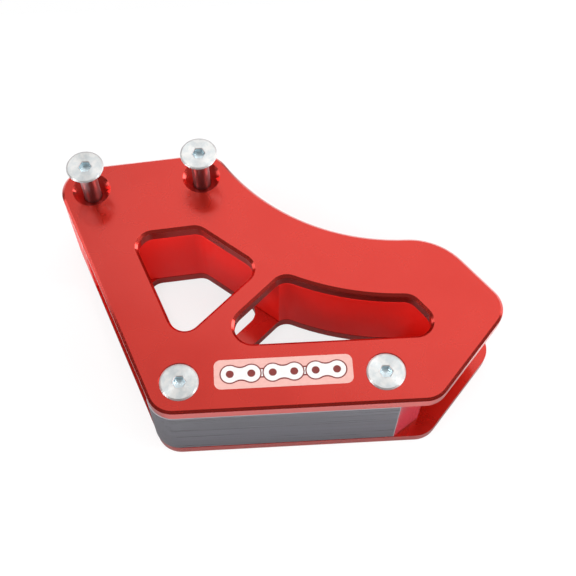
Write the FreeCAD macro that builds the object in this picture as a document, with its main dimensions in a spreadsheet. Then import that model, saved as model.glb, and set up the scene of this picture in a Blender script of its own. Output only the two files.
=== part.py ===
import FreeCAD, Part
import math
import os

import Sketcher

# Chain guide: two side plates held apart by a spacer block and a wear block.
# X runs along the chain edge towards the nose, Z from the inner plate to the outer plate.
# The origin lies on the inner plate's outer face, halfway between the two mounting holes.

document = FreeCAD.newDocument("chain_guide")
sheet = document.addObject("Spreadsheet::Sheet", "Sizes")

# Driving sizes in millimetres and degrees, each with what it measures
SIZES = [
    ("plate_thickness", 6.35, "side plate, quarter inch stock"),
    ("chain_gap", 38.1, "between the plates, inch and a half stock"),
    ("rim_chamfer", 1.2, "outer edges and windows of the plates"),
    ("hole_pitch", 51.0, "between the two mounting holes"),
    ("hole_tilt", 4.9, "slope of the line through the mounting holes"),
    ("clamp_along", 13.85, "left clamp screw, along X from the origin"),
    ("clamp_drop", 100.0, "clamp screws, below the origin"),
    ("clamp_pitch", 87.8, "between the two clamp screws"),
    ("front_margin", 14.0, "clamp screws to the chain edge"),
    ("left_margin_low", 14.8, "left clamp screw to the left edge"),
    ("left_margin_high", 13.7, "left mounting hole to the left edge"),
    ("top_margin", 13.0, "mounting holes to the top edge"),
    ("exit_angle", 48.9, "slope of the chain exit edge"),
    ("exit_margin", 25.2, "right clamp screw to the chain exit edge"),
    ("nose_angle", 127.3, "direction of the nose's upper edge"),
    ("nose_reach", 62.7, "right clamp screw to the nose's upper edge"),
    ("saddle_radius", 96.7, "hollow upper edge between hole and shoulder"),
    ("saddle_margin", 12.9, "right mounting hole to the hollow edge"),
    ("saddle_height", 78.2, "lowest point of the hollow above the chain edge"),
    ("front_corner_radius", 11.5, "both corners of the chain edge"),
    ("nose_radius", 12.0, "nose"),
    ("shoulder_radius", 30.0, "shoulder between hollow and nose"),
    ("hole_corner_radius", 13.0, "corners around the mounting holes"),
    ("window_radius", 7.0, "corners of the windows"),
    ("window_end_radius", 8.4, "second window's narrow corner beside the rib"),
    ("left_strip", 21.8, "left edge to the first window"),
    ("top_strip", 26.6, "mounting holes to the first window's top edge"),
    ("slope_strip", 22.1, "right mounting hole to the first window's sloping edge"),
    ("slope_angle", 140.9, "direction of that sloping edge"),
    ("rib_angle", 42.8, "slope of the rib between the windows"),
    ("rib_offset", 13.75, "left clamp screw to the rib's upper side"),
    ("rib_width", 9.45, "rib between the windows"),
    ("front_strip", 30.1, "chain edge to the second window"),
    ("saddle_strip", 29.0, "hollow edge to the second window"),
    ("nose_strip", 29.7, "nose's upper edge to the second window"),
    ("spacer_tip_radius", 5.0, "spacer's corner at the nose"),
    ("spacer_edge", 0.4, "broken edges of the spacer against the plates"),
    ("block_depth", 28.0, "wear block, chain edge to its rear face"),
    ("block_end", 17.5, "right clamp screw to the wear block's end"),
    ("bevel_angle", 34.6, "bevel at the wear block's end"),
    ("bevel_margin", 14.65, "right clamp screw to the bevel"),
    ("block_edge", 1.0, "rounded edges of the wear block"),
    ("block_rear_radius", 8.0, "left corner of the rear face"),
    ("block_end_radius", 3.0, "right corner of the rear face"),
    ("screw_diameter", 8.0, "all four screws"),
    ("screw_clearance", 0.5, "plain holes wider than the screws"),
    ("thread_play", 0.1, "tapped holes wider than the thread's crest"),
    ("countersink_diameter", 17.4, "countersinks at the outer face"),
    ("countersink_angle", 90.0, "countersinks and screw heads"),
    ("seat_play", 0.03, "a screw head above its countersink"),
    ("head_diameter", 16.7, "screw heads"),
    ("head_rim", 0.4, "bevelled rim of a head above its cone"),
    ("head_break", 0.7, "how far that bevel reaches in"),
    ("socket_flats", 5.0, "hexagon socket across flats"),
    ("socket_depth", 3.0, "hexagon socket"),
    ("socket_mouth", 0.3, "broken edges of the socket's mouth"),
    ("tip_chamfer", 1.2, "lead chamfer at a screw's tip"),
    ("clamp_length", 50.0, "clamp screws, head included"),
    ("bolt_length", 70.0, "mounting bolts, head included"),
]
for row, (alias, amount, note) in enumerate(SIZES, start=1):
    sheet.set("A%d" % row, note)
    sheet.set("B%d" % row, str(amount))
    sheet.setAlias("B%d" % row, alias)
document.recompute()
size = {alias: float(sheet.get(alias)) for alias, amount, note in SIZES}

# Ends of a sketched edge, and the sketch's own origin and axes
START, END, CENTRE = range(1, 4)
UPRIGHT_AXIS, LEVEL_AXIS = range(-2, 0)
ORIGIN = LEVEL_AXIS

# Formulas that several pieces share
INNER_TOP = "Sizes.plate_thickness"
SPACER_TOP = "Sizes.plate_thickness + Sizes.chain_gap"
STACK_TOP = "2 * Sizes.plate_thickness + Sizes.chain_gap"
PLAIN_HOLE = "Sizes.screw_diameter + Sizes.screw_clearance"
TAPPED_HOLE = "Sizes.screw_diameter + Sizes.thread_play"
SADDLE_CENTRE = "Sizes.saddle_height + Sizes.saddle_radius - Sizes.clamp_drop - Sizes.front_margin"
BEYOND = "Sizes.clamp_drop + Sizes.clamp_pitch"

# Screw axes: how far along X and up Y
AXES = {
    "hole_left": (
        "-Sizes.hole_pitch / 2 * cos(Sizes.hole_tilt)",
        "-Sizes.hole_pitch / 2 * sin(Sizes.hole_tilt)",
    ),
    "hole_right": (
        "Sizes.hole_pitch / 2 * cos(Sizes.hole_tilt)",
        "Sizes.hole_pitch / 2 * sin(Sizes.hole_tilt)",
    ),
    "clamp_left": ("Sizes.clamp_along", "-Sizes.clamp_drop"),
    "clamp_right": ("Sizes.clamp_along + Sizes.clamp_pitch", "-Sizes.clamp_drop"),
}


def make_body(label):
    """An empty body whose label names the finished piece."""
    body = document.addObject("PartDesign::Body", label)
    body.Label = label
    return body


def make_sketch(body, name, role="XY_Plane", height=None):
    """A sketch on one of the body's own origin planes, raised by an optional formula."""
    sketch = body.newObject("Sketcher::SketchObject", name)
    plane = [feature for feature in body.Origin.OriginFeatures if feature.Role == role][0]
    sketch.AttachmentSupport = (plane, [""])
    sketch.MapMode = "FlatFace"
    if height:
        sketch.setExpression("AttachmentOffset.Base.z", height)
    return sketch


def work_out(formula):
    """The present number of a formula, without its unit."""
    amount = sheet.evalExpression(formula)
    return float(getattr(amount, "Value", amount))


def bind(sketch, name, kind, formula, *places):
    """Adds a constraint whose value follows a formula of the sheet."""
    amount = work_out(formula)
    if kind == "Angle":
        amount = math.radians(amount)
        formula = "(%s) * 1 deg" % formula
    index = sketch.addConstraint(Sketcher.Constraint(kind, *places, amount))
    sketch.renameConstraint(index, name)
    sketch.setExpression(".Constraints." + name, formula)


def pin(sketch, name, place, along, up):
    """Fixes a point of a sketch by two formulas, or on an axis where a formula is left out."""
    if along:
        bind(sketch, name + "_along", "DistanceX", along, ORIGIN, START, *place)
    else:
        sketch.addConstraint(Sketcher.Constraint("PointOnObject", *place, UPRIGHT_AXIS))
    if up:
        bind(sketch, name + "_up", "DistanceY", up, ORIGIN, START, *place)
    else:
        sketch.addConstraint(Sketcher.Constraint("PointOnObject", *place, LEVEL_AXIS))


def close_loop(sketch, *edges):
    """Joins edges into a loop; each is its index with its first and last end."""
    for this, following in zip(edges, edges[1:] + edges[:1]):
        sketch.addConstraint(Sketcher.Constraint("Coincident", this[0], this[2], following[0], following[1]))


def forward(edge):
    """A loop edge that is walked from its start to its end."""
    return (edge, START, END)


def backward(edge):
    """A loop edge that is walked from its end to its start."""
    return (edge, END, START)


class Profile:
    """A sketch of the guide's side view, whose edges keep their distances from the screw axes."""

    def __init__(self, body, name, height=None):
        self.sketch = make_sketch(body, name, height=height)
        self.at = {}
        self.axis = {}
        for axis, (along, up) in AXES.items():
            self.at[axis] = FreeCAD.Vector(work_out(along), work_out(up), 0)
            self.axis[axis] = self.sketch.addGeometry(Part.Point(self.at[axis]), True)
            pin(self.sketch, axis, (self.axis[axis], START), along, up)

    def line(self, first, last):
        """A straight edge between two first guesses of its ends."""
        return self.sketch.addGeometry(Part.LineSegment(FreeCAD.Vector(*first, 0), FreeCAD.Vector(*last, 0)))

    def keep_off(self, name, edge, axis, formula):
        """Keeps an edge at a distance from a screw axis."""
        bind(self.sketch, name, "Distance", formula, self.axis[axis], START, edge)

    def parallel(self, name, edge, other, formula):
        """Keeps an edge parallel to another one, at a distance."""
        self.sketch.addConstraint(Sketcher.Constraint("Parallel", edge, other))
        bind(self.sketch, name, "Distance", formula, edge, START, other)

    def level(self, edge):
        """Keeps an edge level."""
        self.sketch.addConstraint(Sketcher.Constraint("Horizontal", edge))

    def upright(self, edge):
        """Keeps an edge upright."""
        self.sketch.addConstraint(Sketcher.Constraint("Vertical", edge))

    def slope(self, name, edge, formula):
        """Sets the direction of an edge."""
        bind(self.sketch, name, "Angle", formula, edge)

    def corner(self, edge, end):
        """A solved corner of the loop."""
        point = self.sketch.getPoint(edge, end)
        return FreeCAD.Vector(point.x, point.y, 0)


def guess_corners():
    """First guesses of the sharp corners, which the constraints then make exact."""
    left = size["clamp_along"]
    right = left + size["clamp_pitch"]
    front = -size["clamp_drop"] - size["front_margin"]
    saddle = front + size["saddle_height"]
    half = size["hole_pitch"] / 2
    reach, margin, strip = size["nose_reach"], size["top_margin"], size["left_strip"]
    window_top = -size["top_strip"]
    window_foot = front + size["front_strip"]
    return {
        "front_left": (left - 0.7 * size["left_margin_low"], front),
        "front_right": (right + 0.85 * size["exit_margin"], front),
        "nose": (right + 0.92 * reach, front + 0.54 * size["saddle_height"]),
        "shoulder": (right + 0.45 * reach, saddle),
        "top_right": (half + 0.5 * margin, 1.2 * margin),
        "top_left": (-half - 1.45 * margin, 0.7 * margin),
        "first_foot": (left, window_foot),
        "first_left": (left - 1.4 * strip, window_top),
        "first_top": (left + 0.45 * strip, window_top),
        "first_right": (left + 1.7 * strip, window_top - 0.9 * strip),
        "second_left": (left + 0.5 * strip, window_foot),
        "second_top": (left + 2.1 * strip, window_top - 1.1 * strip),
        "second_end": (right + 0.23 * reach, saddle - size["saddle_strip"]),
        "second_right": (right + 0.47 * reach, window_foot),
    }


guess = guess_corners()
beyond = work_out(BEYOND)


def left_edge(profile, first, last):
    """The edge beside the left mounting hole and the left clamp screw."""
    edge = profile.line(first, last)
    profile.keep_off("left_margin_low", edge, "clamp_left", "Sizes.left_margin_low")
    profile.keep_off("left_margin_high", edge, "hole_left", "Sizes.left_margin_high")
    return edge


def front_edge(profile, first, last, strip="0"):
    """The long edge along the wear block, or a line one strip behind it."""
    edge = profile.line(first, last)
    profile.level(edge)
    formula = "abs(%s - Sizes.front_margin)" % strip
    profile.keep_off("front_margin_" + str(edge), edge, "clamp_left", formula)
    return edge


def exit_edge(profile, first, last):
    """The edge where the chain comes out."""
    edge = profile.line(first, last)
    profile.slope("exit_angle", edge, "Sizes.exit_angle")
    profile.keep_off("exit_margin", edge, "clamp_right", "Sizes.exit_margin")
    return edge


def top_edge(profile, first, last, name="top_margin"):
    """An edge along both mounting holes."""
    edge = profile.line(first, last)
    profile.keep_off(name + "_left", edge, "hole_left", "Sizes." + name)
    profile.keep_off(name + "_right", edge, "hole_right", "Sizes." + name)
    return edge


def slope_edge(profile, first, last):
    """The first window's sloping edge below the right mounting hole."""
    edge = profile.line(first, last)
    profile.slope("slope_angle", edge, "Sizes.slope_angle")
    profile.keep_off("slope_strip", edge, "hole_right", "Sizes.slope_strip")
    return edge


def rib_edge(profile, first, last, strip="0"):
    """The side of the rib that faces the first window, or a line one strip behind it."""
    edge = profile.line(first, last)
    profile.slope("rib_angle_" + str(edge), edge, "Sizes.rib_angle")
    profile.keep_off("rib_offset_" + str(edge), edge, "clamp_left", "Sizes.rib_offset - " + strip)
    return edge


def nose_edge(profile, first, last, strip="0"):
    """The upper edge of the nose, or a line one strip inside it."""
    edge = profile.line(first, last)
    profile.slope("nose_angle_" + str(edge), edge, "Sizes.nose_angle")
    profile.keep_off("nose_reach_" + str(edge), edge, "clamp_right", "Sizes.nose_reach - " + strip)
    return edge


def saddle_arc(profile, first, last, strip="0"):
    """The hollow upper edge, or the arc one strip below it."""
    sketch = profile.sketch
    radius = "Sizes.saddle_radius + " + strip
    span = "Sizes.saddle_radius + Sizes.saddle_margin"
    hole = profile.at["hole_right"]
    height = work_out(SADDLE_CENTRE)
    across = math.sqrt(work_out(span) ** 2 - (height - hole.y) ** 2)
    centre = FreeCAD.Vector(hole.x + across, height, 0)
    ends = [math.atan2(y - centre.y, x - centre.x) for x, y in (first, last)]
    circle = Part.Circle(centre, FreeCAD.Vector(0, 0, 1), work_out(radius))
    edge = sketch.addGeometry(Part.ArcOfCircle(circle, *ends))
    name = "saddle_" + str(edge)
    bind(sketch, name + "_radius", "Radius", radius, edge)
    bind(sketch, name + "_height", "DistanceY", SADDLE_CENTRE, ORIGIN, START, edge, CENTRE)
    bind(sketch, name + "_span", "Distance", span, profile.axis["hole_right"], START, edge, CENTRE)
    return edge


def draw_outline(profile):
    """The plates' outer loop with sharp corners; returns its left edge and the corners to round."""
    front = front_edge(profile, guess["front_left"], guess["front_right"])
    leave = exit_edge(profile, guess["front_right"], guess["nose"])
    nose = nose_edge(profile, guess["nose"], guess["shoulder"])
    saddle = saddle_arc(profile, guess["top_right"], guess["shoulder"])
    top = top_edge(profile, guess["top_right"], guess["top_left"])
    left = left_edge(profile, guess["top_left"], guess["front_left"])
    loop = [forward(front), forward(leave), forward(nose), backward(saddle), forward(top), forward(left)]
    close_loop(profile.sketch, *loop)
    return left, {
        "front_corner_radius": [(front, START), (front, END)],
        "nose_radius": [(nose, START)],
        "shoulder_radius": [(nose, END)],
        "hole_corner_radius": [(top, START), (top, END)],
    }


def draw_windows(profile, left):
    """Both windows with sharp corners, on either side of the slanting rib."""
    side = profile.line(guess["first_foot"], guess["first_left"])
    profile.parallel("left_strip", side, left, "Sizes.left_strip")
    top = top_edge(profile, guess["first_left"], guess["first_top"], "top_strip")
    slope = slope_edge(profile, guess["first_right"], guess["first_top"])
    rib = rib_edge(profile, guess["first_foot"], guess["first_right"])
    close_loop(profile.sketch, forward(side), forward(top), backward(slope), backward(rib))
    far_side = rib_edge(profile, guess["second_left"], guess["second_top"], "Sizes.rib_width")
    arc = saddle_arc(profile, guess["second_top"], guess["second_end"], "Sizes.saddle_strip")
    end = nose_edge(profile, guess["second_right"], guess["second_end"], "Sizes.nose_strip")
    foot = front_edge(profile, guess["second_left"], guess["second_right"], "Sizes.front_strip")
    close_loop(profile.sketch, forward(far_side), forward(arc), backward(end), backward(foot))
    narrow = (far_side, START)
    corners = [(edge, place) for edge in (side, slope, far_side, end) for place in (START, END)]
    return {
        "window_radius": [corner for corner in corners if corner != narrow],
        "window_end_radius": [narrow],
    }


def add_feature(body, kind, name, profile):
    """A feature of a body that uses a sketch."""
    document.recompute()
    feature = body.newObject("PartDesign::" + kind, name)
    feature.Profile = profile
    return feature


def add_pad(body, name, sketch, length):
    """A pad whose length follows a formula."""
    pad = add_feature(body, "Pad", name, sketch)
    pad.setExpression("Length", length)
    document.recompute()


def add_pocket(body, name, sketch, depth=None):
    """A pocket down from its sketch, to a depth or right through, that must remove material."""
    before = body.Shape.Volume
    pocket = add_feature(body, "Pocket", name, sketch)
    if depth:
        pocket.setExpression("Length", depth)
    else:
        pocket.Type = "ThroughAll"
    document.recompute()
    assert body.Shape.Volume < before - 1, name


def round_uprights(body, alias, points):
    """Rounds the upright edges that stand on the given corners."""
    base = body.Tip
    names = []
    for number, edge in enumerate(base.Shape.Edges, start=1):
        box = edge.BoundBox
        upright = max(box.XLength, box.YLength) < 1e-4
        foot = FreeCAD.Vector(box.Center.x, box.Center.y, 0)
        if upright and any((foot - point).Length < 1e-3 for point in points):
            names.append("Edge%d" % number)
    assert len(names) == len(points), body.Label + alias
    fillet = body.newObject("PartDesign::Fillet", "%s_%s" % (body.Label, alias))
    fillet.Base = (base, names)
    fillet.setExpression("Radius", "Sizes." + alias)
    document.recompute()


def round_outline(body, profile, roundings):
    """Gives each corner of a drawn outline its own radius."""
    for alias, places in roundings.items():
        round_uprights(body, alias, [profile.corner(*place) for place in places])


def rightmost_upright(body):
    """The foot of the upright edge that lies furthest along X."""
    uprights = [edge.BoundBox for edge in body.Tip.Shape.Edges if edge.BoundBox.XLength < 1e-4]
    box = max((box for box in uprights if box.YLength < 1e-4), key=lambda box: box.XMax)
    return FreeCAD.Vector(box.Center.x, box.Center.y, 0)


def break_rims(body, kind, levels, alias):
    """Chamfers or fillets all edges that lie wholly at one of the given heights."""
    base = body.Tip
    names = []
    for number, edge in enumerate(base.Shape.Edges, start=1):
        box = edge.BoundBox
        if any(max(abs(box.ZMin - level), abs(box.ZMax - level)) < 1e-5 for level in levels):
            names.append("Edge%d" % number)
    rim = body.newObject("PartDesign::" + kind, body.Label + "_rims")
    rim.Base = (base, names)
    rim.setExpression("Size" if kind == "Chamfer" else "Radius", "Sizes." + alias)
    document.recompute()


def drill(body, name, axes, diameter, height, countersunk=False):
    """Drills holes down through a piece at screw axes, countersunk where heads sit."""
    profile = Profile(body, name + "_axes", height)
    for axis in axes:
        circle = Part.Circle(profile.at[axis], FreeCAD.Vector(0, 0, 1), work_out(diameter) / 2)
        edge = profile.sketch.addGeometry(circle)
        profile.sketch.addConstraint(
            Sketcher.Constraint("Coincident", edge, CENTRE, profile.axis[axis], START)
        )
        bind(profile.sketch, axis + "_bore", "Diameter", diameter, edge)
    before = body.Shape.Volume
    hole = add_feature(body, "Hole", name, profile.sketch)
    document.recompute()
    hole.ThreadType = "None"
    hole.setExpression("Diameter", diameter)
    hole.DepthType = "ThroughAll"
    if countersunk:
        hole.HoleCutType = "Countersink"
        hole.HoleCutCustomValues = True
        hole.setExpression("HoleCutDiameter", "Sizes.countersink_diameter")
        hole.setExpression("HoleCutCountersinkAngle", "Sizes.countersink_angle")
    document.recompute()
    assert body.Shape.Volume < before - 1, name


# Side plates: one outline with two windows, cut from quarter inch stock
def make_plate(label, foot, top):
    """A side plate between two heights, still without holes."""
    body = make_body(label)
    profile = Profile(body, label + "_outline", foot)
    left, roundings = draw_outline(profile)
    windows = draw_windows(profile, left)
    add_pad(body, label + "_stock", profile.sketch, "Sizes.plate_thickness")
    round_outline(body, profile, roundings)
    round_outline(body, profile, windows)
    return body


inner_plate = make_plate("inner_plate", None, INNER_TOP)
break_rims(inner_plate, "Chamfer", (0,), "rim_chamfer")
drill(inner_plate, "inner_plate_bolt_holes", ["hole_left", "hole_right"], PLAIN_HOLE, INNER_TOP)
drill(inner_plate, "inner_plate_tapped_holes", ["clamp_left", "clamp_right"], TAPPED_HOLE, INNER_TOP)

outer_plate = make_plate("outer_plate", SPACER_TOP, STACK_TOP)
break_rims(outer_plate, "Chamfer", (work_out(STACK_TOP),), "rim_chamfer")
drill(outer_plate, "outer_plate_holes", list(AXES), PLAIN_HOLE, STACK_TOP, countersunk=True)

# Spacer block along the top, hollow and shoulder, flush with the windows' upper edges
spacer = make_body("spacer_block")
spacer_profile = Profile(spacer, "spacer_block_outline", INNER_TOP)
spacer_left, spacer_roundings = draw_outline(spacer_profile)
add_pad(spacer, "spacer_block_stock", spacer_profile.sketch, "Sizes.chain_gap")
round_outline(spacer, spacer_profile, spacer_roundings)

# Below the second window's curved upper edge, right of the rib
slant = math.tan(math.radians(size["rib_angle"]))
window_corner = guess["second_top"]
window_low = (window_corner[0] - (window_corner[1] + beyond) / slant, -beyond)
window_cut = Profile(spacer, "spacer_block_window_cut_outline", SPACER_TOP)
window_side = rib_edge(window_cut, window_low, window_corner, "Sizes.rib_width")
window_arc = saddle_arc(window_cut, window_corner, (beyond, -size["top_strip"]), "Sizes.saddle_strip")
window_end = window_cut.line((beyond, -size["top_strip"]), (beyond, -beyond))
window_foot = window_cut.line((beyond, -beyond), window_low)
window_cut.upright(window_end)
window_cut.level(window_foot)
pin(window_cut.sketch, "far_corner", (window_end, END), BEYOND, "-(%s)" % BEYOND)
close_loop(window_cut.sketch, *[forward(edge) for edge in (window_side, window_arc, window_end, window_foot)])
add_pocket(spacer, "spacer_block_window_cut", window_cut.sketch)
round_uprights(spacer, "window_radius", [window_cut.corner(window_side, END)])

# Below the first window's top edge and its sloping edge
slope_fall = math.tan(math.radians(180 - size["slope_angle"]))
slope_low = (guess["first_top"][0] + (beyond - size["top_strip"]) / slope_fall, -beyond)
lower_cut = Profile(spacer, "spacer_block_lower_cut_outline", SPACER_TOP)
lower_top = top_edge(lower_cut, (-beyond, -2 * size["top_strip"]), guess["first_top"], "top_strip")
lower_slope = slope_edge(lower_cut, slope_low, guess["first_top"])
lower_foot = lower_cut.line(slope_low, (-beyond, -beyond))
lower_side = lower_cut.line((-beyond, -beyond), (-beyond, -2 * size["top_strip"]))
lower_cut.level(lower_foot)
lower_cut.upright(lower_side)
pin(lower_cut.sketch, "far_corner", (lower_side, START), "-(%s)" % BEYOND, "-(%s)" % BEYOND)
close_loop(
    lower_cut.sketch, forward(lower_top), backward(lower_slope), forward(lower_foot), forward(lower_side)
)
add_pocket(spacer, "spacer_block_lower_cut", lower_cut.sketch)
round_uprights(spacer, "window_radius", [lower_cut.corner(lower_top, END)])

# The corner where the curved face meets the nose's upper edge
round_uprights(spacer, "spacer_tip_radius", [rightmost_upright(spacer)])
break_rims(spacer, "Chamfer", (work_out(INNER_TOP), work_out(SPACER_TOP)), "spacer_edge")
drill(spacer, "spacer_block_holes", ["hole_left", "hole_right"], PLAIN_HOLE, SPACER_TOP)

# Wear block along the chain edge, bevelled where the chain leaves
block = make_body("wear_block")
block_outline = Profile(block, "wear_block_outline", INNER_TOP)
block_front_y = -size["clamp_drop"] - size["front_margin"]
block_rear_y = block_front_y + size["block_depth"]
block_right_x = size["clamp_along"] + size["clamp_pitch"] + size["block_end"]
bevel_left = (block_right_x - size["bevel_margin"], block_front_y)
bevel_right = (block_right_x, block_front_y + size["bevel_margin"] * 0.6)
block_front = front_edge(block_outline, guess["front_left"], bevel_left)
block_bevel = block_outline.line(bevel_left, bevel_right)
block_outline.slope("bevel_angle", block_bevel, "Sizes.bevel_angle")
block_outline.keep_off("bevel_margin", block_bevel, "clamp_right", "Sizes.bevel_margin")
block_end = block_outline.line(bevel_right, (block_right_x, block_rear_y))
block_outline.upright(block_end)
block_outline.keep_off("block_end", block_end, "clamp_right", "Sizes.block_end")
block_rear = block_outline.line((block_right_x, block_rear_y), (0, block_rear_y))
block_outline.level(block_rear)
bind(block_outline.sketch, "block_depth", "Distance", "Sizes.block_depth", block_rear, START, block_front)
block_left = left_edge(block_outline, (0, block_rear_y), guess["front_left"])
block_loop = (block_front, block_bevel, block_end, block_rear, block_left)
close_loop(block_outline.sketch, *[forward(edge) for edge in block_loop])
add_pad(block, "wear_block_stock", block_outline.sketch, "Sizes.chain_gap")
round_outline(
    block,
    block_outline,
    {
        "front_corner_radius": [(block_front, START)],
        "block_edge": [(block_bevel, START), (block_bevel, END)],
        "block_end_radius": [(block_rear, START)],
        "block_rear_radius": [(block_rear, END)],
    },
)
break_rims(block, "Fillet", (work_out(INNER_TOP), work_out(SPACER_TOP)), "block_edge")
drill(block, "wear_block_holes", ["clamp_left", "clamp_right"], PLAIN_HOLE, SPACER_TOP)


# Countersunk hexagon socket screws, each drawn from its tip upwards
def make_screw(label, axis, length, tip_height):
    """A screw that stands on a screw axis with its tip at a height."""
    body = make_body(label)
    profile = make_sketch(body, label + "_section", "XZ_Plane")
    radius = "Sizes.screw_diameter / 2"
    head = "Sizes.head_diameter / 2"
    cone_top = "%s - Sizes.head_rim" % length
    cone = "(Sizes.head_diameter - Sizes.screw_diameter) / 2 / tan(Sizes.countersink_angle / 2)"
    section = [
        (None, None),
        (radius + " - Sizes.tip_chamfer / 2", None),
        (radius, "Sizes.tip_chamfer"),
        (radius, "%s - %s" % (cone_top, cone)),
        (head, cone_top),
        (head + " - Sizes.head_break", length),
        (None, length),
    ]
    points = [FreeCAD.Vector(*[work_out(value) if value else 0 for value in place], 0) for place in section]
    edges = []
    for number, ends in enumerate(zip(points, points[1:] + points[:1])):
        edges.append(profile.addGeometry(Part.LineSegment(*ends)))
        pin(profile, "corner_%d" % number, (edges[-1], START), *section[number])
    close_loop(profile, *[forward(edge) for edge in edges])
    turned = add_feature(body, "Revolution", label + "_turned", profile)
    turned.ReferenceAxis = (profile, ["V_Axis"])
    turned.Angle = 360
    document.recompute()
    socket = make_sketch(body, label + "_socket_outline", height=length)
    draw_hexagon(socket)
    add_pocket(body, label + "_socket", socket, "Sizes.socket_depth")
    chamfer_mouth(body, work_out(length))
    along, up = AXES[axis]
    body.setExpression("Placement.Base.x", along)
    body.setExpression("Placement.Base.y", up)
    body.setExpression("Placement.Base.z", tip_height)
    return body


def draw_hexagon(sketch):
    """A hexagon across flats, centred on the sketch's origin, with two level sides."""
    corner = size["socket_flats"] / math.sqrt(3)
    turns = [math.radians(60 * step) for step in range(6)]
    points = [FreeCAD.Vector(corner * math.cos(turn), corner * math.sin(turn), 0) for turn in turns]
    sides = [sketch.addGeometry(Part.LineSegment(*pair)) for pair in zip(points, points[1:] + points[:1])]
    circle = sketch.addGeometry(Part.Circle(FreeCAD.Vector(), FreeCAD.Vector(0, 0, 1), corner), True)
    close_loop(sketch, *[forward(side) for side in sides])
    sketch.addConstraint(Sketcher.Constraint("Coincident", circle, CENTRE, ORIGIN, START))
    for side in sides:
        sketch.addConstraint(Sketcher.Constraint("PointOnObject", side, START, circle))
    for side in sides[1:]:
        sketch.addConstraint(Sketcher.Constraint("Equal", sides[0], side))
    sketch.addConstraint(Sketcher.Constraint("Horizontal", sides[1]))
    bind(sketch, "socket_flats", "Distance", "Sizes.socket_flats / 2", ORIGIN, START, sides[1])


def chamfer_mouth(body, level):
    """Breaks the straight edges of a socket's mouth."""
    base = body.Tip
    names = []
    for number, edge in enumerate(base.Shape.Edges, start=1):
        box = edge.BoundBox
        flat = max(abs(box.ZMin - level), abs(box.ZMax - level)) < 1e-5
        if flat and isinstance(edge.Curve, Part.Line):
            names.append("Edge%d" % number)
    chamfer = body.newObject("PartDesign::Chamfer", body.Label + "_mouth")
    chamfer.Base = (base, names)
    chamfer.setExpression("Size", "Sizes.socket_mouth")
    document.recompute()


SEATED_TOP = (
    STACK_TOP
    + " - (Sizes.countersink_diameter - Sizes.head_diameter) / 2 / tan(Sizes.countersink_angle / 2)"
    + " + Sizes.head_rim + Sizes.seat_play"
)
for side in ("left", "right"):
    seat = SEATED_TOP + " - Sizes.clamp_length"
    make_screw("clamp_screw_" + side, "clamp_" + side, "Sizes.clamp_length", seat)
    make_screw("mounting_bolt_" + side, "hole_" + side, "Sizes.bolt_length", "0")

document.recompute()
for thing in document.Objects:
    assert not {"Invalid", "Error"} & set(thing.State), thing.Name
bodies = [thing for thing in document.Objects if thing.TypeId == "PartDesign::Body"]
for body in bodies:
    shape = body.Shape
    assert not shape.isNull() and shape.isValid() and len(shape.Solids) == 1, body.Label
os.makedirs("parts", exist_ok=True)
for body in bodies:
    body.Shape.exportStep("parts/%s.step" % body.Label)
    print("%s: %.0f cubic millimetres" % (body.Label, body.Shape.Volume))
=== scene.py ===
import logging
import math
from dataclasses import dataclass
from enum import Enum, IntEnum
from typing import Iterator, Sequence

import bmesh
import bpy
from mathutils import Matrix, Vector


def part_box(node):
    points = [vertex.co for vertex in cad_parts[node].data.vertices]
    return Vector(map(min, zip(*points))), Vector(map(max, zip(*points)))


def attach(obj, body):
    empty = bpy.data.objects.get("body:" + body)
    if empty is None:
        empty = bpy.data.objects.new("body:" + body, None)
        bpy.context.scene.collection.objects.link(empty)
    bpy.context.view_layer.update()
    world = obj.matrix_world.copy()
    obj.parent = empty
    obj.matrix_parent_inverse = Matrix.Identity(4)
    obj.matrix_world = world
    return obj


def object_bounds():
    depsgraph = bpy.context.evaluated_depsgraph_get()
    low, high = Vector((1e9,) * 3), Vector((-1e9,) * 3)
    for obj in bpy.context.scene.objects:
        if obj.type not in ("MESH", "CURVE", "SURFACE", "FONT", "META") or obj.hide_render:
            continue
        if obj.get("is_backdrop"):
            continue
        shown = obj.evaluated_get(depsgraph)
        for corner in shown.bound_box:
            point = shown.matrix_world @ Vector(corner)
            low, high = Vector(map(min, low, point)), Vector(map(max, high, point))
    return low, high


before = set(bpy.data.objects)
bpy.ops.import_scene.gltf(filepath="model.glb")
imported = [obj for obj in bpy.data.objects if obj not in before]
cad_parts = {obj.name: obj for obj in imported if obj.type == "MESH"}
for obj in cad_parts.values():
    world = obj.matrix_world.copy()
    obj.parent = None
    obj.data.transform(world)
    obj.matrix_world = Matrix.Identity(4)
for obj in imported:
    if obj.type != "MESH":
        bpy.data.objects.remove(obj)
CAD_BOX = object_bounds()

log = logging.getLogger("chain_guide")

MM = 0.001
ROOT = "root"

Colour = tuple[float, float, float]
Point = tuple[float, float]
Point3 = tuple[float, float, float]
Socket = bpy.types.NodeSocket

# Ranges that the finishes share.
WHOLE: Point = (0.0, 1.0)
REVERSED: Point = (1.0, 0.0)
NOISE_MIDDLE: Point = (0.3, 0.7)
NOISE_BROAD: Point = (0.2, 0.8)
LEVEL: Point = (0.8, 0.95)

# Where a colour mix node has its two colours and the mixed one.
MIX_INPUTS = (6, 7)
MIX_OUTPUT = 2


class Part(Enum):
    """The solid pieces of the guide."""

    OUTER_PLATE = "outer_plate"
    INNER_PLATE = "inner_plate"
    SPACER = "spacer_block"
    WEAR_BLOCK = "wear_block"
    CLAMP_SCREW_LEFT = "clamp_screw_left"
    CLAMP_SCREW_RIGHT = "clamp_screw_right"
    BOLT_LEFT = "mounting_bolt_left"
    BOLT_RIGHT = "mounting_bolt_right"


class Axis(IntEnum):
    """The axes, numbered as a vector's channels are."""

    X = 0
    Y = 1
    Z = 2


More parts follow.
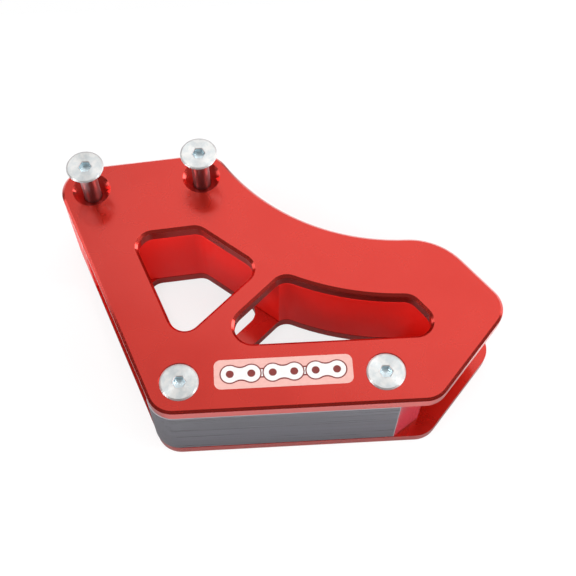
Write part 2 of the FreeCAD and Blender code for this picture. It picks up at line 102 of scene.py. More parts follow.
class Join(Enum):
    """What is done with two values, or with the first one alone."""

    ADD = "ADD"
    SUBTRACT = "SUBTRACT"
    MULTIPLY = "MULTIPLY"
    MAXIMUM = "MAXIMUM"
    ABSOLUTE = "ABSOLUTE"


class Fade(Enum):
    """How a value runs from one end of its range to the other."""

    STRAIGHT = "LINEAR"
    SMOOTH = "SMOOTHSTEP"


def shown_object(part: Part) -> bpy.types.Object:
    """Gives the object of a solid piece.

    Args:
        part: The piece.

    Returns:
        Its Blender object.
    """
    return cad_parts[part.value]


def box_mm(part: Part) -> tuple[Vector, Vector]:
    """Measures a solid piece.

    Args:
        part: The piece.

    Returns:
        Its lowest and highest corner in millimetres.
    """
    low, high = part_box(part.value)
    return low / MM, high / MM


# ---------------------------------------------------------------- nodes


class Nodes:
    """The nodes of a material or of the room."""

    def __init__(self, tree: bpy.types.NodeTree) -> None:
        """Empties the tree that the nodes go into.

        Args:
            tree: The tree.
        """
        self.tree = tree
        self.tree.nodes.clear()

    def node(self, kind: str, **settings: object) -> bpy.types.Node:
        """Adds a node.

        Args:
            kind: The node's type.
            settings: Its properties.

        Returns:
            The new node.
        """
        made = self.tree.nodes.new(kind)
        for name, value in settings.items():
            setattr(made, name, value)
        return made

    def feed(self, target: Socket, value: Socket | float | Sequence[float]) -> None:
        """Gives a socket its input.

        Args:
            target: The socket.
            value: Another socket, a number or a list of numbers.
        """
        if isinstance(value, bpy.types.NodeSocket):
            self.tree.links.new(value, target)
        else:
            target.default_value = value

    def settle(self, node: bpy.types.Node, numbers: dict[str, float]) -> None:
        """Sets numbers on a node's own sockets.

        Args:
            node: The node.
            numbers: The number for each socket, by the socket's name.
        """
        for name, number in numbers.items():
            node.inputs[name].default_value = number

    def span(
        self, value: Socket, source: Point, target: Point, fade: Fade = Fade.STRAIGHT
    ) -> Socket:
        """Maps a range of values to another one.

        Args:
            value: The value.
            source: The range that it comes in.
            target: The range that it leaves in.
            fade: How it runs from end to end.

        Returns:
            The mapped value.
        """
        made = self.node("ShaderNodeMapRange", interpolation_type=fade.value)
        self.feed(made.inputs["Value"], value)
        ends = ("From Min", "From Max", "To Min", "To Max")
        self.settle(made, dict(zip(ends, source + target)))
        return made.outputs["Result"]

    def join(self, how: Join, first: Socket, second: Socket | float) -> Socket:
        """Joins two values.

        Args:
            how: What is done with them.
            first: The first value.
            second: The second value.

        Returns:
            The result.
        """
        made = self.node("ShaderNodeMath", operation=how.value)
        self.feed(made.inputs[0], first)
        self.feed(made.inputs[1], second)
        return made.outputs[0]

    def plus(self, first: Socket, second: Socket | float) -> Socket:
        """Adds two values."""
        return self.join(Join.ADD, first, second)

    def minus(self, first: Socket, second: Socket | float) -> Socket:
        """Takes the second value from the first."""
        return self.join(Join.SUBTRACT, first, second)

    def times(self, first: Socket, second: Socket | float) -> Socket:
        """Multiplies two values."""
        return self.join(Join.MULTIPLY, first, second)

    def most(self, first: Socket, second: Socket | float) -> Socket:
        """Gives the larger of two values."""
        return self.join(Join.MAXIMUM, first, second)

    def rest(self, share: Socket) -> Socket:
        """Gives what a share leaves of the whole."""
        return self.span(share, WHOLE, REVERSED)

    def channel(self, vector: Socket, axis: Axis) -> Socket:
        """Takes one axis from a vector.

        Args:
            vector: The vector.
            axis: The axis.

        Returns:
            The vector's size along it.
        """
        split = self.node("ShaderNodeSeparateXYZ")
        self.feed(split.inputs[0], vector)
        return split.outputs[axis]

    def mixed(
        self, share: Socket, first: bpy.types.Node, second: bpy.types.Node
    ) -> bpy.types.Node:
        """Mixes two shaders.

        Args:
            share: How much of the second shader shows.
            first: The first shader.
            second: The second shader.

        Returns:
            The mixed shader.
        """
        made = self.node("ShaderNodeMixShader")
        for socket, value in zip(made.inputs, (share, first.outputs[0], second.outputs[0])):
            self.feed(socket, value)
        return made

    def lead_out(self, shader: bpy.types.Node, kind: str) -> None:
        """Leads a shader to the tree's output.

        Args:
            shader: The shader.
            kind: The output node's type.
        """
        self.feed(self.node(kind).inputs["Surface"], shader.outputs[0])


class Recipe(Nodes):
    """A node material that is being put together."""

    def __init__(self, name: str) -> None:
        """Starts an empty material.

        Args:
            name: The name of the finish.
        """
        self.material = bpy.data.materials.new(name)
        self.material.use_nodes = True
        super().__init__(self.material.node_tree)
        self._place: Socket | None = None

    def place(self) -> Socket:
        """Gives the place on the part.

        Returns:
            The place, in millimetres.
        """
        if self._place is None:
            scale = self.node("ShaderNodeVectorMath", operation="SCALE")
            self.feed(scale.inputs[0], self.node("ShaderNodeTexCoord").outputs["Object"])
            self.settle(scale, {"Scale": 1 / MM})
            self._place = scale.outputs[0]
        return self._place

    def stretched(self, grain: Point3) -> Socket:
        """Gives the place with each axis divided by a length.

        Args:
            grain: How long a feature of the pattern is along X, Y and Z, in mm.

        Returns:
            The scaled place.
        """
        divide = self.node("ShaderNodeVectorMath", operation="DIVIDE")
        self.feed(divide.inputs[0], self.place())
        self.feed(divide.inputs[1], grain)
        return divide.outputs[0]

    def noise(self, grain: Point3, detail: float = 2.0) -> Socket:
        """Adds cloudy noise.

        Args:
            grain: How long a feature is along X, Y and Z, in mm.
            detail: How many finer layers it has.

        Returns:
            Its value, from 0 to 1.
        """
        made = self.node("ShaderNodeTexNoise")
        self.feed(made.inputs["Vector"], self.stretched(grain))
        self.settle(made, {"Scale": 1.0, "Detail": detail})
        return made.outputs["Fac"]

    def cells(self, grain: float) -> Socket:
        """Adds small cells, each with a value of its own.

        Args:
            grain: How wide a cell is, in mm.

        Returns:
            A random value for each cell.
        """
        made = self.node("ShaderNodeTexVoronoi")
        self.feed(made.inputs["Vector"], self.stretched((grain,) * 3))
        self.settle(made, {"Scale": 1.0})
        return made.outputs["Color"]

    def blend(self, share: Socket, first: Socket | Colour, second: Socket | Colour) -> Socket:
        """Mixes two colours.

        Args:
            share: How much of the second colour shows.
            first: The first colour.
            second: The second colour.

        Returns:
            The mixed colour.
        """
        made = self.node("ShaderNodeMix", data_type="RGBA")
        self.feed(made.inputs["Factor"], share)
        for index, colour in zip(MIX_INPUTS, (first, second)):
            drawn = isinstance(colour, bpy.types.NodeSocket)
            self.feed(made.inputs[index], colour if drawn else (*colour, 1.0))
        return made.outputs[MIX_OUTPUT]

    def facing(self, axis: Axis, share: Point, either_way: bool = False) -> Socket:
        """Tells faces that look along an axis from the others.

        Args:
            axis: The axis.
            share: Shares of the normal along the axis between which it comes to count.
            either_way: Whether faces that look back along the axis count too.

        Returns:
            1 on a face that looks along the axis, else 0.
        """
        geometry = self.node("ShaderNodeNewGeometry")
        slope = self.channel(geometry.outputs["True Normal"], axis)
        if either_way:
            slope = self.join(Join.ABSOLUTE, slope, 0.0)
        return self.span(slope, share, WHOLE)

    def band(self, axis: Axis, rise: Point, fall: Point) -> Socket:
        """Tells faces that look partly along an axis from the others.

        Args:
            axis: The axis.
            rise: Shares of the normal along the axis between which it comes to count.
            fall: Shares of the normal along the axis between which it stops to count.

        Returns:
            1 on a face that looks partly along the axis, either way, else 0.
        """
        past = self.facing(axis, fall, either_way=True)
        return self.minus(self.facing(axis, rise, either_way=True), past)

    def reach(self, axis: Axis, low: float, high: float, soft: float = 0.15) -> Socket:
        """Tells what lies between two places along an axis.

        Args:
            axis: The axis.
            low: The lower place, in mm.
            high: The upper place, in mm.
            soft: How far to either side of a place it fades, in mm.

        Returns:
            1 between the places, else 0.
        """
        spot = self.channel(self.place(), axis)
        above = self.span(spot, (low - soft, low + soft), WHOLE)
        return self.times(above, self.span(spot, (high - soft, high + soft), REVERSED))

    def relief(self, height: Socket, depth: float = 1.0) -> Socket:
        """Turns a value into relief.

        Args:
            height: The value.
            depth: How deep the relief is at a value of 1, in mm.

        Returns:
            The bent normal.
        """
        made = self.node("ShaderNodeBump")
        self.settle(made, {"Distance": depth * MM, "Strength": 1.0})
        self.feed(made.inputs["Height"], height)
        return made.outputs["Normal"]

    def finish(self, shader: bpy.types.Node) -> bpy.types.Material:
        """Ends the material.

        Args:
            shader: The node that gives the surface.

        Returns:
            The material.
        """
        self.lead_out(shader, "ShaderNodeOutputMaterial")
        return self.material


# ---------------------------------------------------------------- finishes


@dataclass(frozen=True)
class AnodisedFinish:
    """Dyed aluminium: coloured metal below a clear sealed skin.

    The flat faces are blasted, the walls are milled and the chamfers are cut bright. A brighter
    red, where one is given, is painted light on the walls that look to the front.
    """

    name: str = "red anodised aluminium"
    dye: Colour = (0.60, 0.025, 0.014)
    dye_thin: Colour = (0.65, 0.033, 0.020)
    front_wall_painted_light: Colour | None = None
    pocket_facing: Point = (-0.2, -0.5)
    metal: float = 0.88
    face_roughness: float = 0.27
    wall_roughness: float = 0.28
    chamfer_roughness: float = 0.18
    chamfer_facing: Point = (0.3, 0.6)
    uneven: float = 0.02
    skin_weight: float = 0.5
    skin_roughness: float = 0.12
    skin_ior: float = 1.6
    cloud_size: float = 24.0
    blast_size: float = 0.32
    blast_share: float = 0.2
    blast_depth: float = 0.004
    cutter_mark: float = 0.5
    cutter_depth: float = 0.003

    def make(self) -> bpy.types.Material:
        """Makes the material.

        Returns:
            The finished material.
        """
        recipe = Recipe(self.name)
        surface = recipe.node("ShaderNodeBsdfPrincipled")
        cloud = recipe.noise((self.cloud_size,) * 3, detail=4.0)
        blast = recipe.noise((self.blast_size,) * 3, detail=1.0)
        cutter = recipe.noise((self.cutter_mark, self.cutter_mark, self.cloud_size), detail=1.0)
        flat = recipe.facing(Axis.Z, LEVEL, either_way=True)

        cloudy = recipe.span(cloud, NOISE_MIDDLE, (0.0, 1.0 - self.blast_share))
        blasted = recipe.span(blast, NOISE_BROAD, (0.0, self.blast_share))
        dye_and_painted_light = recipe.blend(recipe.plus(cloudy, blasted), self.dye, self.dye_thin)
        # Painted light: the walls that look to the front get a brighter red than the dye.
        if self.front_wall_painted_light:
            pocket = recipe.facing(Axis.Y, self.pocket_facing)
            dye_and_painted_light = recipe.blend(pocket, dye_and_painted_light, self.front_wall_painted_light)
        recipe.feed(surface.inputs["Base Color"], dye_and_painted_light)

        chamfer = recipe.band(Axis.Z, self.chamfer_facing, LEVEL)
        walls = recipe.span(flat, WHOLE, (self.wall_roughness, self.face_roughness))
        cut = recipe.span(chamfer, WHOLE, (0.0, self.chamfer_roughness - self.wall_roughness))
        uneven = recipe.span(cloud, NOISE_MIDDLE, (-self.uneven, self.uneven))
        rough = recipe.plus(recipe.plus(walls, cut), uneven)
        recipe.feed(surface.inputs["Roughness"], rough)
        plain = {
            "Metallic": self.metal,
            "Coat Weight": self.skin_weight,
            "Coat Roughness": self.skin_roughness,
            "Coat IOR": self.skin_ior,
        }
        recipe.settle(surface, plain)

        pits = recipe.span(blast, WHOLE, (0.0, self.blast_depth))
        marks = recipe.span(cutter, WHOLE, (0.0, self.cutter_depth))
        grain = recipe.plus(recipe.times(pits, flat), recipe.times(marks, recipe.rest(flat)))
        recipe.feed(surface.inputs["Normal"], recipe.relief(grain))
        return recipe.finish(surface)


@dataclass(frozen=True)
class PolymerFinish:
    """Dark wear polymer, planed along its length, with painted highlights on its rounded edges
    and a painted red reflection on its bevel.
    """

    name: str = "dark grey wear polymer"
    dark: Colour = (0.032, 0.032, 0.041)
    light: Colour = (0.126, 0.123, 0.148)
    roughness: Point = (0.26, 0.42)
    burnished: float = 0.14
    # Painted reflection: the red of the plates, mirrored in the bevel.
    painted_bevel_reflection: Colour = (0.37, 0.034, 0.057)
    bevel_facing: Point = (0.3, 0.5)
    # Painted highlight on the block's rounded edges.
    painted_edge_highlight: Colour = (0.30, 0.27, 0.29)
    end_edge_facing: Point = (0.08, 0.16)
    long_edge_rise: Point = (0.08, 0.2)
    long_edge_fall: Point = (0.9, 0.98)
    streak_length: float = 70.0
    streak_width: float = 0.9
    streak_depth: float = 0.03
    speck_size: float = 0.35
    speck_share: float = 0.25

    def make(self) -> bpy.types.Material:
        """Makes the material.

        Returns:
            The finished material.
        """
        recipe = Recipe(self.name)
        surface = recipe.node("ShaderNodeBsdfPrincipled")
        along = (self.streak_length, self.streak_width, self.streak_width)
        streak = recipe.noise(along, detail=3.0)
        speck = recipe.noise((self.speck_size,) * 3, detail=1.0)
        bevel = recipe.facing(Axis.X, self.bevel_facing)

        streaked = recipe.span(streak, NOISE_MIDDLE, (0.0, 1.0 - self.speck_share))
        specked = recipe.span(speck, NOISE_BROAD, (0.0, self.speck_share))
        planed = recipe.blend(recipe.plus(streaked, specked), self.dark, self.light)
        # Painted reflection: the bevel is tinted red as if it mirrored the plates.
        painted_bevel_reflection = recipe.blend(bevel, planed, self.painted_bevel_reflection)
        # Painted highlight: the rounded edges are coloured light grey.
        end_edge = recipe.minus(recipe.facing(Axis.X, self.end_edge_facing), bevel)
        long_edge = recipe.band(Axis.Z, self.long_edge_rise, self.long_edge_fall)
        edge = recipe.most(end_edge, long_edge)
        recipe.feed(surface.inputs["Base Color"], recipe.blend(edge, painted_bevel_reflection, self.painted_edge_highlight))

        sawn = recipe.times(
            recipe.rest(bevel), recipe.span(streak, NOISE_MIDDLE, self.roughness)
        )
        rough = recipe.plus(sawn, recipe.times(bevel, self.burnished))
        recipe.feed(surface.inputs["Roughness"], rough)
        grain = recipe.plus(streak, recipe.times(speck, self.speck_share))
        recipe.feed(surface.inputs["Normal"], recipe.relief(grain, self.streak_depth))
        return recipe.finish(surface)


@dataclass(frozen=True)
class ZincFinish:
    """Bright zinc plate with a thin clear blue passivation, deeper blue in the socket.

    The socket is where its floor and its mouth lie along Z, in mm. The rim and the shank carry a
    painted pink reflection of the red plates, and the shank is also painted darker.
    """

    name: str
    socket: Point
    bright: Colour = (0.95, 0.94, 0.92)
    blue: Colour = (0.76, 0.80, 0.81)
    pooled: Colour = (0.82, 0.94, 0.99)
    # Painted reflection: pink on the head's rim.
    rim_painted_reflection: Colour = (0.90, 0.80, 0.78)
    # Painted reflection and shade: the shank is a darker pink than the zinc.
    shank_painted_reflection: Colour = (0.56, 0.40, 0.41)
    face_roughness: float = 0.34
    rim_roughness: float = 0.55
    shank_roughness: float = 0.32
    upward_facing: Point = (0.5, 0.6)
    turned: float = 0.85
    lay: float = 0.25
    ring_length: float = 40.0
    ring_pitch: float = 0.14
    ring_depth: float = 0.03
    crystal_size: float = 0.55
    crystal_share: float = 0.35
    crystal_roughness: float = 0.04
    crystal_depth: float = 0.012
    cloud_size: float = 3.2
    cloud_range: Point = (0.4, 0.6)
    cloud_share: float = 0.7
    head_height: float = 4.4
    shank_reach: float = 60.0

    def make(self) -> bpy.types.Material:
        """Makes the material.

        Returns:
            The finished material.
        """
        recipe = Recipe(self.name)
        surface = recipe.node("ShaderNodeBsdfPrincipled")
        crystal = recipe.cells(self.crystal_size)
        cloud = recipe.noise((self.cloud_size,) * 3, detail=3.0)
        rings = recipe.noise((self.ring_length, self.ring_length, self.ring_pitch), detail=1.0)
        upward = recipe.facing(Axis.Z, self.upward_facing)
        face = recipe.facing(Axis.Z, LEVEL)

        clouded = recipe.span(cloud, self.cloud_range, (0.0, self.cloud_share))
        spangled = recipe.span(crystal, WHOLE, (0.0, self.crystal_share))
        plated = recipe.blend(recipe.plus(clouded, spangled), self.bright, self.blue)
        # Painted reflection: the head's rim is tinted pink.
        with_rim_reflection = recipe.blend(recipe.minus(upward, face), plated, self.rim_painted_reflection)
        tinted = recipe.blend(recipe.reach(Axis.Z, *self.socket), with_rim_reflection, self.pooled)
        mouth = self.socket[1]
        below_head = recipe.reach(Axis.Z, mouth - self.shank_reach, mouth - self.head_height)
        # Painted reflection and shade: below the head the zinc is tinted a darker pink.
        recipe.feed(surface.inputs["Base Color"], recipe.blend(below_head, tinted, self.shank_painted_reflection))

        side = recipe.span(upward, WHOLE, (self.shank_roughness, self.rim_roughness))
        faced = recipe.span(face, WHOLE, (0.0, self.face_roughness - self.rim_roughness))
        swing = self.crystal_roughness
        uneven = recipe.span(crystal, WHOLE, (-swing, swing))
        recipe.feed(surface.inputs["Roughness"], recipe.plus(recipe.plus(side, faced), uneven))
        plain = {"Metallic": 1.0, "Anisotropic": self.turned, "Anisotropic Rotation": self.lay}
        recipe.settle(surface, plain)

        pits = recipe.times(recipe.plus(crystal, cloud), self.crystal_depth)
        grooves = recipe.times(rings, self.ring_depth)
        grain = recipe.plus(
            recipe.times(pits, upward), recipe.times(grooves, recipe.rest(upward))
        )
        recipe.feed(surface.inputs["Normal"], recipe.relief(grain))
        return recipe.finish(surface)


@dataclass(frozen=True)
class EtchedFinish:
    """Anodised skin that a laser has marked in close lines."""

    name: str
    tone: Colour
    tone_low: Colour
    roughness: float = 0.5
    roughness_swing: float = 0.06
    line_length: float = 6.0
    line_pitch: float = 0.22
    line_depth: float = 0.004
    fleck_size: float = 1.4
    mottle: Point = (0.7, 1.3)

    def make(self) -> bpy.types.Material:
        """Makes the material.

        Returns:
            The finished material.
        """
        recipe = Recipe(self.name)
        surface = recipe.node("ShaderNodeBsdfPrincipled")
        lines = recipe.noise((self.line_length, self.line_pitch, self.line_length), detail=1.0)
        fleck = recipe.noise((self.fleck_size,) * 3, detail=3.0)
        share = recipe.span(recipe.plus(lines, fleck), self.mottle, WHOLE)
        recipe.feed(surface.inputs["Base Color"], recipe.blend(share, self.tone, self.tone_low))
        ends = (self.roughness - self.roughness_swing, self.roughness + self.roughness_swing)
        recipe.feed(surface.inputs["Roughness"], recipe.span(lines, NOISE_MIDDLE, ends))
        recipe.feed(surface.inputs["Normal"], recipe.relief(lines, self.line_depth))
        return recipe.finish(surface)


ANODISED = AnodisedFinish()
ANODISED_MATT = AnodisedFinish(
    name="matt red anodised aluminium",
    dye=(0.70, 0.016, 0.011),
    dye_thin=(0.76, 0.024, 0.017),
    # Painted light: a brighter red on the spacer's walls that look to the front.
    front_wall_painted_light=(0.98, 0.010, 0.005),
    metal=0.1,
    face_roughness=0.45,
    wall_roughness=0.45,
    chamfer_roughness=0.45,
    skin_weight=0.06,
    skin_roughness=0.3,
)
POLYMER = PolymerFinish()
ETCHED_GROUND = EtchedFinish("etched ground", (0.70, 0.40, 0.36), (0.66, 0.36, 0.32))
ETCHED_WHITE = EtchedFinish("etched white", (0.75, 0.73, 0.715), (0.69, 0.67, 0.655))
ETCHED_LINE = EtchedFinish("etched outline", (0.15, 0.02, 0.018), (0.21, 0.03, 0.025))


# ---------------------------------------------------------------- shapes


def arc(centre: Point, radius: float, start: float, end: float, steps: int) -> list[Point]:
    """Lists points on an arc.

    Args:
        centre: Its centre.
        radius: Its radius.
        start: The angle of its first point, in degrees.
        end: The angle of its last point, in degrees.
        steps: How many chords it has.

    Returns:
        The points.
    """
    angles = (math.radians(start + (end - start) * i / steps) for i in range(steps + 1))
    return [(centre[0] + radius * math.cos(a), centre[1] + radius * math.sin(a)) for a in angles]


def prism(shape: bmesh.types.BMesh, outline: Sequence[Point], low: float, high: float) -> None:
    """Adds an upright slab to a mesh.

    Args:
        shape: The mesh.
        outline: Its corners seen from above, anticlockwise, in mm.
        low: The height of its underside, in mm.
        high: The height of its top, in mm.
    """
    rings = [[shape.verts.new(Vector((x, y, z)) * MM) for x, y in outline] for z in (low, high)]
    shape.faces.new(rings[1])
    shape.faces.new(reversed(rings[0]))
    count = len(outline)
    for i in range(count):
        j = (i + 1) % count
        shape.faces.new((rings[0][i], rings[0][j], rings[1][j], rings[1][i]))


def dress(piece: bpy.types.Object, material: bpy.types.Material) -> None:
    """Gives a piece its material in each of its slots.

    Args:
        piece: The object.
        material: The material.
    """
    if not piece.material_slots:
        piece.data.materials.append(material)
    for slot in piece.material_slots:
        slot.material = material


def dressed_object(
    name: str, shape: bmesh.types.BMesh, material: bpy.types.Material
) -> bpy.types.Object:
    """Turns a mesh into an object of the scene.

    Args:
        name: The object's name.
        shape: Its mesh, which is used up.
        material: Its material.

    Returns:
        The new object.
    """
    mesh = bpy.data.meshes.new(name)
    shape.to_mesh(mesh)
    shape.free()
    made = bpy.data.objects.new(name, mesh)
    bpy.context.scene.collection.objects.link(made)
    dress(made, material)
    return made


def aim(place: Point3, target: Point3) -> Matrix:
    """Turns a lamp or camera to what it faces.

    Args:
        place: Where it stands, in mm.
        target: What it faces, in mm.

    Returns:
        Its place and turn.
    """
    start, end = Vector(place) * MM, Vector(target) * MM
    turn = (end - start).to_track_quat("-Z", "Y").to_matrix().to_4x4()
    return Matrix.Translation(start) @ turn


# ---------------------------------------------------------------- pieces


@dataclass
class Plates:
    """The two side plates and the spacer between them."""

    plate_finish: AnodisedFinish = ANODISED
    spacer_finish: AnodisedFinish = ANODISED_MATT
    plates: tuple[Part, ...] = (Part.OUTER_PLATE, Part.INNER_PLATE)

    def build(self) -> Iterator[str]:
        """Dresses the pieces.

        Yields:
            The name of each.
        """
        material = self.plate_finish.make()
        for part in self.plates:
            dress(shown_object(part), material)
            yield part.value
        dress(shown_object(Part.SPACER), self.spacer_finish.make())
        yield Part.SPACER.value


@dataclass
class WearBlock:
    """The polymer block that the chain runs on."""

    finish: PolymerFinish = POLYMER

    def build(self) -> Iterator[str]:
        """Dresses the block and yields its name."""
        dress(shown_object(Part.WEAR_BLOCK), self.finish.make())
        yield Part.WEAR_BLOCK.value


@dataclass
class Screws:
    """The four countersunk screws, in pairs of one length."""

    pairs: tuple[tuple[str, tuple[Part, Part]], ...] = (
        ("zinc plated clamp screw", (Part.CLAMP_SCREW_LEFT, Part.CLAMP_SCREW_RIGHT)),
        ("zinc plated mounting bolt", (Part.BOLT_LEFT, Part.BOLT_RIGHT)),
    )
    socket_floor: float = 3.1
    socket_mouth: float = 0.35

    def build(self) -> Iterator[str]:
        """Dresses the screws.

        Yields:
            The name of each.
        """
        for name, pair in self.pairs:
            top = box_mm(pair[0])[1].z
            socket = (top - self.socket_floor, top - self.socket_mouth)
            material = ZincFinish(name, socket).make()
            for part in pair:
                dress(shown_object(part), material)
                yield part.value


@dataclass
class EtchedBand:
    """A plain band of chain links, etched on the outer plate between the clamp screws."""

    length: float = 59.0
    height: float = 13.4
    corner: float = 3.0
    off_middle: Point = (0.4, 2.3)
    pins: int = 6
    pin_radius: float = 1.7
    pin_sides: int = 24
    pitch: float = 9.1
    link_radius: float = 4.4
    waist_radius: float = 5.0
    inner_scale: float = 0.8
    outline: float = 0.55
    layer: float = 0.012
    steps: int = 14

    def middle(self) -> Vector:
        """Finds the band's middle on the plate's face.

        Returns:
            Its place, in mm.
        """
        screws = (Part.CLAMP_SCREW_LEFT, Part.CLAMP_SCREW_RIGHT)
        left, right = (sum(box_mm(part), Vector()) / 2 for part in screws)
        centre = (left + right) / 2 + Vector((*self.off_middle, 0.0))
        centre.z = box_mm(Part.OUTER_PLATE)[1].z
        return centre

    def pill(self) -> list[Point]:
        """Draws the band's outline round its middle.

        Returns:
            Its corners.
        """
        wide, high = self.length / 2 - self.corner, self.height / 2 - self.corner
        corners = ((wide, high), (-wide, high), (-wide, -high), (wide, -high))
        points: list[Point] = []
        for quarter, centre in enumerate(corners):
            start = 90.0 * quarter
            points += arc(centre, self.corner, start, start + 90.0, self.steps)
        return points

    def link(self, radius: float) -> list[Point]:
        """Draws one link plate with a waist, round its middle.

        Args:
            radius: The radius of its two eyes.

        Returns:
            Its corners.
        """
        half = self.pitch / 2
        rise = math.sqrt((radius + self.waist_radius) ** 2 - half**2)
        meet = math.degrees(math.atan2(rise, half))
        eye, waist = 2 * self.steps, self.steps
        right = arc((half, 0.0), radius, meet - 180.0, 180.0 - meet, eye)
        top = arc((0.0, rise), self.waist_radius, -meet, meet - 180.0, waist)
        left = arc((-half, 0.0), radius, meet, 360.0 - meet, eye)
        bottom = arc((0.0, -rise), self.waist_radius, 180.0 - meet, meet, waist)
        return right + top[1:-1] + left + bottom[1:-1]

    def pin(self) -> list[Point]:
        """Draws one pin's end, round its middle."""
        last = 360.0 - 360.0 / self.pin_sides
        return arc((0.0, 0.0), self.pin_radius, 0.0, last, self.pin_sides - 1)

    def pin_places(self) -> list[float]:
        """Gives how far along the band each pin is from the middle."""
        first = -self.pitch * (self.pins - 1) / 2
        return [first + self.pitch * i for i in range(self.pins)]

    def layers(self) -> Iterator[tuple[str, EtchedFinish, list[Point], list[float]]]:
        """Lists the marking from the lowest layer to the highest.

        Yields:
            A layer's name and finish, its outline, and the places along the band that have it.
        """
        pins = self.pin_places()
        centres = [(a + b) / 2 for a, b in zip(pins, pins[1:])]
        yield "etched_band", ETCHED_GROUND, self.pill(), [0.0]
        for kind, places, radius in (
            ("inner", centres[1::2], self.link_radius * self.inner_scale),
            ("outer", centres[0::2], self.link_radius),
        ):
            yield f"etched_{kind}_outlines", ETCHED_LINE, self.link(radius), places
            core = self.link(radius - self.outline)
            yield f"etched_{kind}_links", ETCHED_WHITE, core, places
        yield "etched_pins", ETCHED_LINE, self.pin(), pins

    def stack(
        self, outline: Sequence[Point], places: Sequence[float], height: int
    ) -> bmesh.types.BMesh:
        """Makes one layer of the marking.

        Args:
            outline: The corners of its shape, round the shape's middle.
            places: How far along the band each such shape is from the middle.
            height: How many layers there are up to its top.

        Returns:
            The mesh.
        """
        middle = self.middle()
        shape = bmesh.new()
        for place in places:
            placed = [(middle.x + place + x, middle.y + y) for x, y in outline]
            prism(shape, placed, middle.z, middle.z + height * self.layer)
        return shape

    def build(self) -> Iterator[str]:
        """Makes the marking layer by layer.

        Yields:
            The name of each layer.
        """
        finishes = (ETCHED_GROUND, ETCHED_LINE, ETCHED_WHITE)
        materials = {finish: finish.make() for finish in finishes}
        for height, (name, finish, outline, places) in enumerate(self.layers(), start=1):
            shape = self.stack(outline, places, height)
            piece = dressed_object(name, shape, materials[finish])
            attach(piece, ROOT)
            yield name


# ---------------------------------------------------------------- studio


@dataclass(frozen=True)
class Softbox:
    """A soft rectangular lamp that faces the guide, all in mm.

    Its brightness is that of its surface. One that isn't mirrored lights the guide without
    showing in its metal.
    """

    name: str
    place: Point3
    target: Point3
    width: float
    height: float
    brightness: float
    mirrored: bool = True

    def build(self) -> None:
        """Adds the lamp."""
        data = bpy.data.lights.new(self.name, "AREA")
        data.shape = "RECTANGLE"
        data.size = self.width * MM
        data.size_y = self.height * MM
        data.energy = self.brightness * math.pi * data.size * data.size_y
        lamp = bpy.data.objects.new(self.name, data)
        lamp.visible_glossy = self.mirrored
        bpy.context.scene.collection.objects.link(lamp)
        lamp.matrix_world = aim(self.place, self.target)


@dataclass(frozen=True)
class Floor:
    """A pale floor that keeps the guide's shadow, and is mirrored darker near the guide."""

    left_front: Point = (-900.0, -900.0)
    right_back: Point = (1000.0, 150.0)
    drop: float = 0.05
    paint: Colour = (0.95, 0.95, 0.95)
    grain_size: float = 2.0
    grain_tone: float = 0.99
    lift: float = 0.74
    gloss_lift: float = 0.06
    shaded_left_front: Point = (-44.0, -132.0)
    shaded_right_back: Point = (156.0, -20.0)
    shade: float = 0.6
    shade_fade: float = 10.0
    shade_edge: float = 0.01

    def build(self) -> None:
        """Makes the floor and its paint."""
        level = CAD_BOX[0].z / MM - self.drop
        (left, front), (right, back) = self.left_front, self.right_back
        corners = ((left, front), (right, front), (right, back), (left, back))
        shape = bmesh.new()
        shape.faces.new([shape.verts.new(Vector((*corner, level)) * MM) for corner in corners])
        dressed_object("floor", shape, self.paper())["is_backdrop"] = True

    def paper(self) -> bpy.types.Material:
        """Makes the floor's material.

        Returns:
            The finished material.
        """
        recipe = Recipe("pale floor")
        matt = recipe.node("ShaderNodeBsdfDiffuse")
        glow = recipe.node("ShaderNodeEmission")
        grain = recipe.noise((self.grain_size,) * 3)
        low = tuple(channel * self.grain_tone for channel in self.paint)
        recipe.feed(matt.inputs["Color"], recipe.blend(grain, low, self.paint))

        (left, front), (right, back) = self.shaded_left_front, self.shaded_right_back
        across = recipe.reach(Axis.X, left, right, self.shade_fade)
        along = recipe.reach(Axis.Y, front, back, self.shade_fade)
        ray = recipe.node("ShaderNodeLightPath").outputs
        indirect = recipe.most(ray["Is Glossy Ray"], ray["Is Transmission Ray"])
        # Painted shade: near the guide the floor is mirrored darker, in reflections only.
        under = recipe.times(indirect, recipe.times(recipe.times(across, along), self.shade))
        seen = recipe.times(ray["Is Camera Ray"], self.lift)
        lifted = recipe.most(seen, recipe.times(indirect, self.gloss_lift))
        strength = recipe.span(under, (0.0, self.shade_edge), REVERSED)
        recipe.feed(glow.inputs["Strength"], strength)
        return recipe.finish(recipe.mixed(recipe.most(lifted, under), matt, glow))


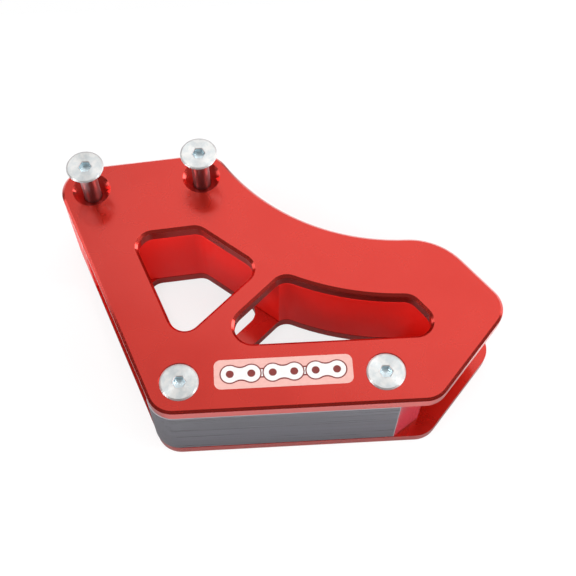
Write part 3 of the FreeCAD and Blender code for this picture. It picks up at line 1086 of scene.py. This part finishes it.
@dataclass(frozen=True)
class Surroundings:
    """The room: light above and behind, dim towards the photographer, dark below."""

    tone: Colour = (0.8, 0.8, 0.8)
    dim: float = 0.22
    bright: float = 0.95
    below: float = 0.04
    turn: Point3 = (0.51, 0.72, 0.46)
    turn_range: Point = (-0.15, 0.75)
    horizon: Point = (-0.1, 0.5)
    backdrop: Colour = (1.0, 1.0, 1.0)

    def build(self) -> None:
        """Makes the world."""
        world = bpy.data.worlds.new("studio room")
        bpy.context.scene.world = world
        world.use_nodes = True
        room = Nodes(world.node_tree)
        direction = room.node("ShaderNodeTexCoord").outputs["Generated"]
        along = room.node("ShaderNodeVectorMath", operation="DOT_PRODUCT")
        room.feed(along.inputs[0], direction)
        room.feed(along.inputs[1], self.turn)
        ends = (self.dim, self.bright)
        fade = room.span(along.outputs["Value"], self.turn_range, ends, Fade.SMOOTH)
        height = room.span(room.channel(direction, Axis.Z), self.horizon, (self.below, 1.0))
        lit = room.node("ShaderNodeBackground")
        room.feed(lit.inputs["Color"], (*self.tone, 1.0))
        room.feed(lit.inputs["Strength"], room.times(fade, height))
        seen = room.node("ShaderNodeBackground")
        room.feed(seen.inputs["Color"], (*self.backdrop, 1.0))
        camera = room.node("ShaderNodeLightPath").outputs["Is Camera Ray"]
        room.lead_out(room.mixed(camera, lit, seen), "ShaderNodeOutputWorld")


@dataclass(frozen=True)
class Viewpoint:
    """Where the camera stands and what it looks at, in mm; its reach is in metres."""

    place: Point3 = (48.58, -271.95, 468.72)
    target: Point3 = (62.31, -58.08, 50.8)
    roll: float = 0.466
    lens: float = 66.63
    sensor: float = 36.0
    reach: Point = (0.01, 50.0)

    def build(self) -> None:
        """Adds the camera."""
        data = bpy.data.cameras.new("camera")
        data.sensor_fit = "HORIZONTAL"
        data.sensor_width = self.sensor
        data.lens = self.lens
        data.clip_start, data.clip_end = self.reach
        camera = bpy.data.objects.new("camera", data)
        bpy.context.scene.collection.objects.link(camera)
        roll = Matrix.Rotation(math.radians(self.roll), 4, "Z")
        camera.matrix_world = aim(self.place, self.target) @ roll
        bpy.context.scene.camera = camera


@dataclass(frozen=True)
class Studio:
    """Floor, room, lamps and camera."""

    lamps: tuple[Softbox, ...] = (
        Softbox("overhead softbox", (420, 640, 900), (60, -40, 40), 1200, 1000, 0.5),
        Softbox("left low softbox", (-950, 310, 170), (40, -40, 20), 560, 220, 1.9),
        Softbox("right low softbox", (1000, 300, 170), (60, -40, 20), 680, 220, 4.5),
        Softbox("left softbox", (-640, -250, 700), (40, -60, 20), 200, 420, 7.0),
        Softbox("right softbox", (760, -250, 700), (60, -60, 20), 200, 420, 7.0),
        Softbox("front fill", (20, -700, 1000), (60, -40, 20), 800, 700, 3.4, mirrored=False),
        Softbox("left fill", (-840, -300, 760), (80, -60, 20), 900, 700, 2.2, mirrored=False),
        Softbox("right fill", (900, -420, 330), (90, -60, 30), 500, 300, 6.5, mirrored=False),
    )

    def build(self) -> None:
        """Sets up everything round the guide."""
        Floor().build()
        Surroundings().build()
        for lamp in self.lamps:
            lamp.build()
        Viewpoint().build()
        bpy.context.scene.view_settings.view_transform = "Standard"


def write_sizes() -> None:
    """Measures the box of the solid model and that of the dressed one, and lists their corners.
    """
    boxes = {"cad": CAD_BOX, "visual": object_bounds()}
    lists = {name: [list(corner) for corner in box] for name, box in boxes.items()}


def main() -> None:
    """Dresses the chain guide and sets up its studio."""
    for assembly in (Plates(), WearBlock(), Screws(), EtchedBand()):
        for name in assembly.build():
            log.info("%s: %s", type(assembly).__name__, name)
    Studio().build()
    write_sizes()


if __name__ == "__main__":
    logging.basicConfig(level=logging.INFO, format="%(name)s %(message)s")
    main()
